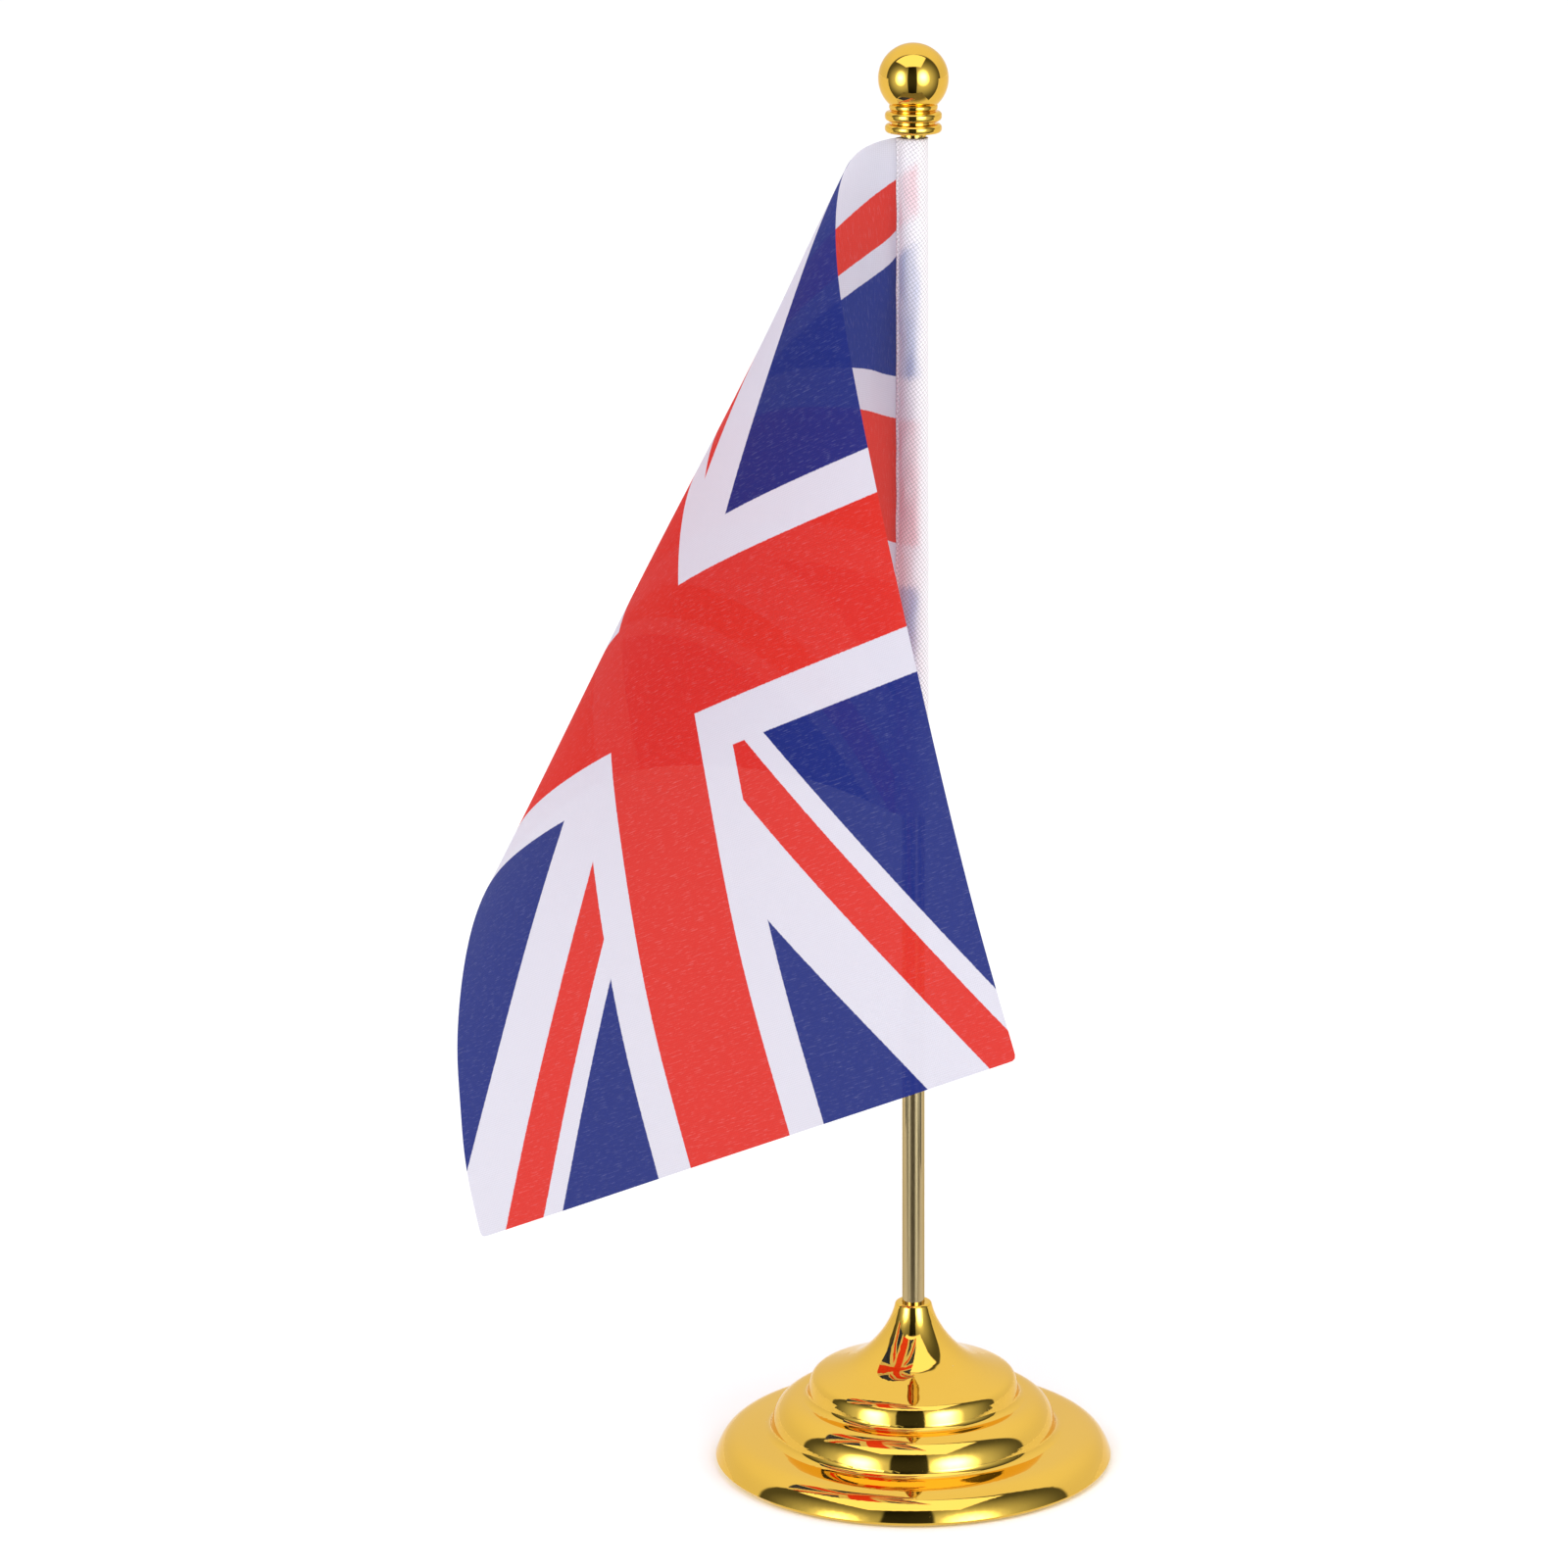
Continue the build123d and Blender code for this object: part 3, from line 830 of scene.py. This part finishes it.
def lamp_glow(tree, azimuth, elevation, core, halo):
    """The brightness of one round softbox seen in the gold: a bright core in a wide soft halo."""
    direction = Vector((0, -1, 0))
    direction.rotate(Euler((-math.radians(elevation), 0, math.radians(azimuth)), "XYZ"))
    dot = node(tree, "ShaderNodeVectorMath", operation="DOT_PRODUCT")
    feed(tree, dot.inputs[0], node(tree, "ShaderNodeTexCoord").outputs["Generated"])
    dot.inputs[1].default_value = direction
    angle = calc(tree, "DEGREES", calc(tree, "ARCCOSINE", dot.outputs["Value"]))
    bright = fade(tree, angle, 4.0, core, 4.5, 0.0)
    around = fade(tree, angle, 6.0, halo, 0.90, 0.0)
    return calc(tree, "ADD", bright, around)


def all_of(tree, masks):
    """Masks multiplied together."""
    total = masks[0]
    for mask in masks[1:]:
        total = calc(tree, "MULTIPLY", total, mask)
    return total


def mirrored_studio(tree):
    """The studio as the gold sees it: white behind, a dim room with glows and a ceiling panel in front."""
    parts = node(tree, "ShaderNodeSeparateXYZ")
    feed(tree, parts.inputs[0], node(tree, "ShaderNodeTexCoord").outputs["Generated"])
    x, y, z = parts.outputs
    forward = calc(tree, "MULTIPLY", y, -1.0)
    azimuth = calc(tree, "DEGREES", calc(tree, "ARCTAN2", x, forward))
    sideways = calc(tree, "ABSOLUTE", x)
    room = fade(tree, calc(tree, "MULTIPLY_ADD", sideways, 0.17, forward), 0.01, 0.06)
    person = all_of(tree, (fade(tree, azimuth, -21.0, -17.0), fade(tree, azimuth, 10.5, 14.0, 1.0, 0.0)))
    height = calc(tree, "MAXIMUM", z, 0.01)
    across = calc(tree, "DIVIDE", x, height)
    ahead = calc(tree, "DIVIDE", forward, height)
    left_side = calc(tree, "MULTIPLY_ADD", ahead, -0.45, calc(tree, "ADD", across, 1.07))
    panel = all_of(tree, (
        fade(tree, left_side, -0.03, 0.03),
        fade(tree, across, 0.59, 0.65, 1.0, 0.0),
        fade(tree, ahead, 0.02, 0.06),
        fade(tree, ahead, 1.00, 1.08, 1.0, 0.0),
        fade(tree, z, 0.02, 0.04),
    ))
    room_light = 0.10
    for glow in STUDIO_GLOWS:
        room_light = calc(tree, "ADD", lamp_glow(tree, *glow), room_light)
    room_light = calc(tree, "MULTIPLY", room_light, fade(tree, person, 0.0, 1.0, 1.0, 0.06))
    room_colour = node(tree, "ShaderNodeCombineColor")
    for channel, share in zip(room_colour.inputs, (0.92, 1.0, 1.1)):
        feed(tree, channel, calc(tree, "MULTIPLY", room_light, share))
    backdrop = blend_colours(tree, fade(tree, z, 0.1, 0.8), (0.84, 0.83, 0.86, 1), (0.97, 0.97, 0.99, 1))
    seen = blend_colours(tree, room, backdrop, room_colour.outputs[0])
    return blend_colours(tree, panel, seen, (1.5, 1.5, 1.6, 1))


def studio_world():
    """White surroundings; only mirror reflections see the studio itself."""
    world = bpy.data.worlds.new("studio")
    bpy.context.scene.world = world
    world.use_nodes = True
    tree = world.node_tree
    tree.nodes.clear()
    mirrored = node(tree, "ShaderNodeBackground")
    feed(tree, mirrored.inputs["Color"], mirrored_studio(tree))
    soft = node(tree, "ShaderNodeBackground")
    soft.inputs["Color"].default_value = (1.0, 0.995, 1.0, 1)
    soft.inputs["Strength"].default_value = SOFT_LIGHT
    plain = node(tree, "ShaderNodeBackground")
    plain.inputs["Color"].default_value = (1, 1, 1, 1)
    plain.inputs["Strength"].default_value = 1.0
    rays = node(tree, "ShaderNodeLightPath")
    lit = node(tree, "ShaderNodeMixShader")
    tree.links.new(rays.outputs["Is Glossy Ray"], lit.inputs[0])
    tree.links.new(soft.outputs[0], lit.inputs[1])
    tree.links.new(mirrored.outputs[0], lit.inputs[2])
    final = node(tree, "ShaderNodeMixShader")
    tree.links.new(rays.outputs["Is Camera Ray"], final.inputs[0])
    tree.links.new(lit.outputs[0], final.inputs[1])
    tree.links.new(plain.outputs[0], final.inputs[2])
    output = node(tree, "ShaderNodeOutputWorld")
    tree.links.new(final.outputs[0], output.inputs["Surface"])


def softbox(name, place, aim, size, power):
    """A square soft lamp that the gold doesn't mirror."""
    lamp = bpy.data.lights.new(name, "AREA")
    lamp.shape = "SQUARE"
    lamp.size = size
    lamp.energy = power
    made = bpy.data.objects.new(name, lamp)
    made.location = place
    made.rotation_euler = (Vector(aim) - Vector(place)).to_track_quat("-Z", "Y").to_euler()
    made.visible_glossy = False
    bpy.context.scene.collection.objects.link(made)


def plane(name, corner_low, corner_high, height, material, steps=8):
    """A flat rectangle with a few rows of faces."""
    x = np.linspace(corner_low[0], corner_high[0], steps + 1)[:, None]
    y = np.linspace(corner_low[1], corner_high[1], steps + 1)[None, :]
    points = np.stack(np.broadcast_arrays(x, y, height), axis=2)
    return grid_object(name, points, points[:, :, :2], material)


def studio_floor():
    """The pale floor; the gold sees a table in its place, which ends in front and at both sides."""
    floor = plane("floor", (-FLOOR_HALF, -FLOOR_HALF), (FLOOR_HALF, FLOOR_HALF), 0.0, floor_material())
    floor.visible_glossy = False
    table = table_material()
    left, right = TABLE_SIDES
    front_part = plane("table_front", (left, TABLE_FRONT), (right, 0.0), 0.0, table)
    back_part = plane("table_back", (-FLOOR_HALF, 0.0), (FLOOR_HALF, FLOOR_HALF), 0.0, table)
    for part in (front_part, back_part):
        part.visible_camera = False
        part.visible_diffuse = False
        part.visible_transmission = False
        part.visible_shadow = False


def studio_camera():
    """A long lens looking slightly down, straight along +Y."""
    camera = bpy.data.cameras.new("camera")
    camera.lens = CAMERA_LENS
    camera.sensor_width = SENSOR_WIDTH
    camera.shift_x = CAMERA_SHIFT
    made = bpy.data.objects.new("camera", camera)
    made.location = (0.0, -CAMERA_DISTANCE, CAMERA_HEIGHT)
    made.rotation_euler = (math.pi / 2 - CAMERA_TILT, 0.0, 0.0)
    bpy.context.scene.collection.objects.link(made)
    bpy.context.scene.camera = made


# ---------------------------------------------------------------- assembly

def dress_node(name, material):
    """Gives a carried-over CAD node its finished material."""
    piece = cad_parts[name]
    for slot in piece.material_slots:
        slot.link = "OBJECT"
        slot.material = material


def main():
    """Builds every piece and puts it on its body."""
    scene = bpy.context.scene
    scene.view_settings.view_transform = "Standard"
    studio_camera()
    studio_world()
    studio_floor()
    softbox("key", (-0.9, -1.3, 1.3), (0, 0, 0.15), 0.9, 10.0)
    softbox("fill", (1.2, -0.9, 0.9), (0, 0, 0.15), 0.9, 5.0)

    weave = woven_threads_group()
    wear = fine_wear_group()
    pattern = flag_print_group()
    gold = gold_plating_material(wear)
    dress_node("base_shell", gold)
    dress_node("finial", gold)
    dress_node("pole_tube", pole_metal_material(wear))
    iron = grained_material(
        "cast_weight", (0.05, 0.05, 0.055, 1), (0.14, 0.14, 0.15, 1), 260.0, 0.45, 0.75, 0.0002, metallic=0.9
    )
    dress_node("ballast_disc", iron)
    plastic = grained_material(
        "cover_plastic", (0.02, 0.02, 0.02, 1), (0.035, 0.035, 0.036, 1), 600.0, 0.5, 0.62, 0.00004
    )
    dress_node("base_cover", plastic)
    steel = grained_material(
        "screw_steel", (0.42, 0.43, 0.45, 1), (0.62, 0.63, 0.66, 1), 900.0, 0.22, 0.4, 0.00002, metallic=1.0
    )
    dress_node("cover_screws", steel)

    cloth = flag_sheet(flag_cloth_material(weave, pattern))
    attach(cloth, "flag")
    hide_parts("flag_cloth")

    ribbon = sleeve_ribbon(sleeve_ribbon_material(weave, pattern))
    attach(ribbon, "flag")
    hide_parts("flag_sleeve")

    stitches = seam_stitches(thread_material())
    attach(stitches, "flag")
    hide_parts("sleeve_stitching")

    pad = felt_disc(felt_material())
    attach(pad, "base")
    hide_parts("felt_pad")


main()
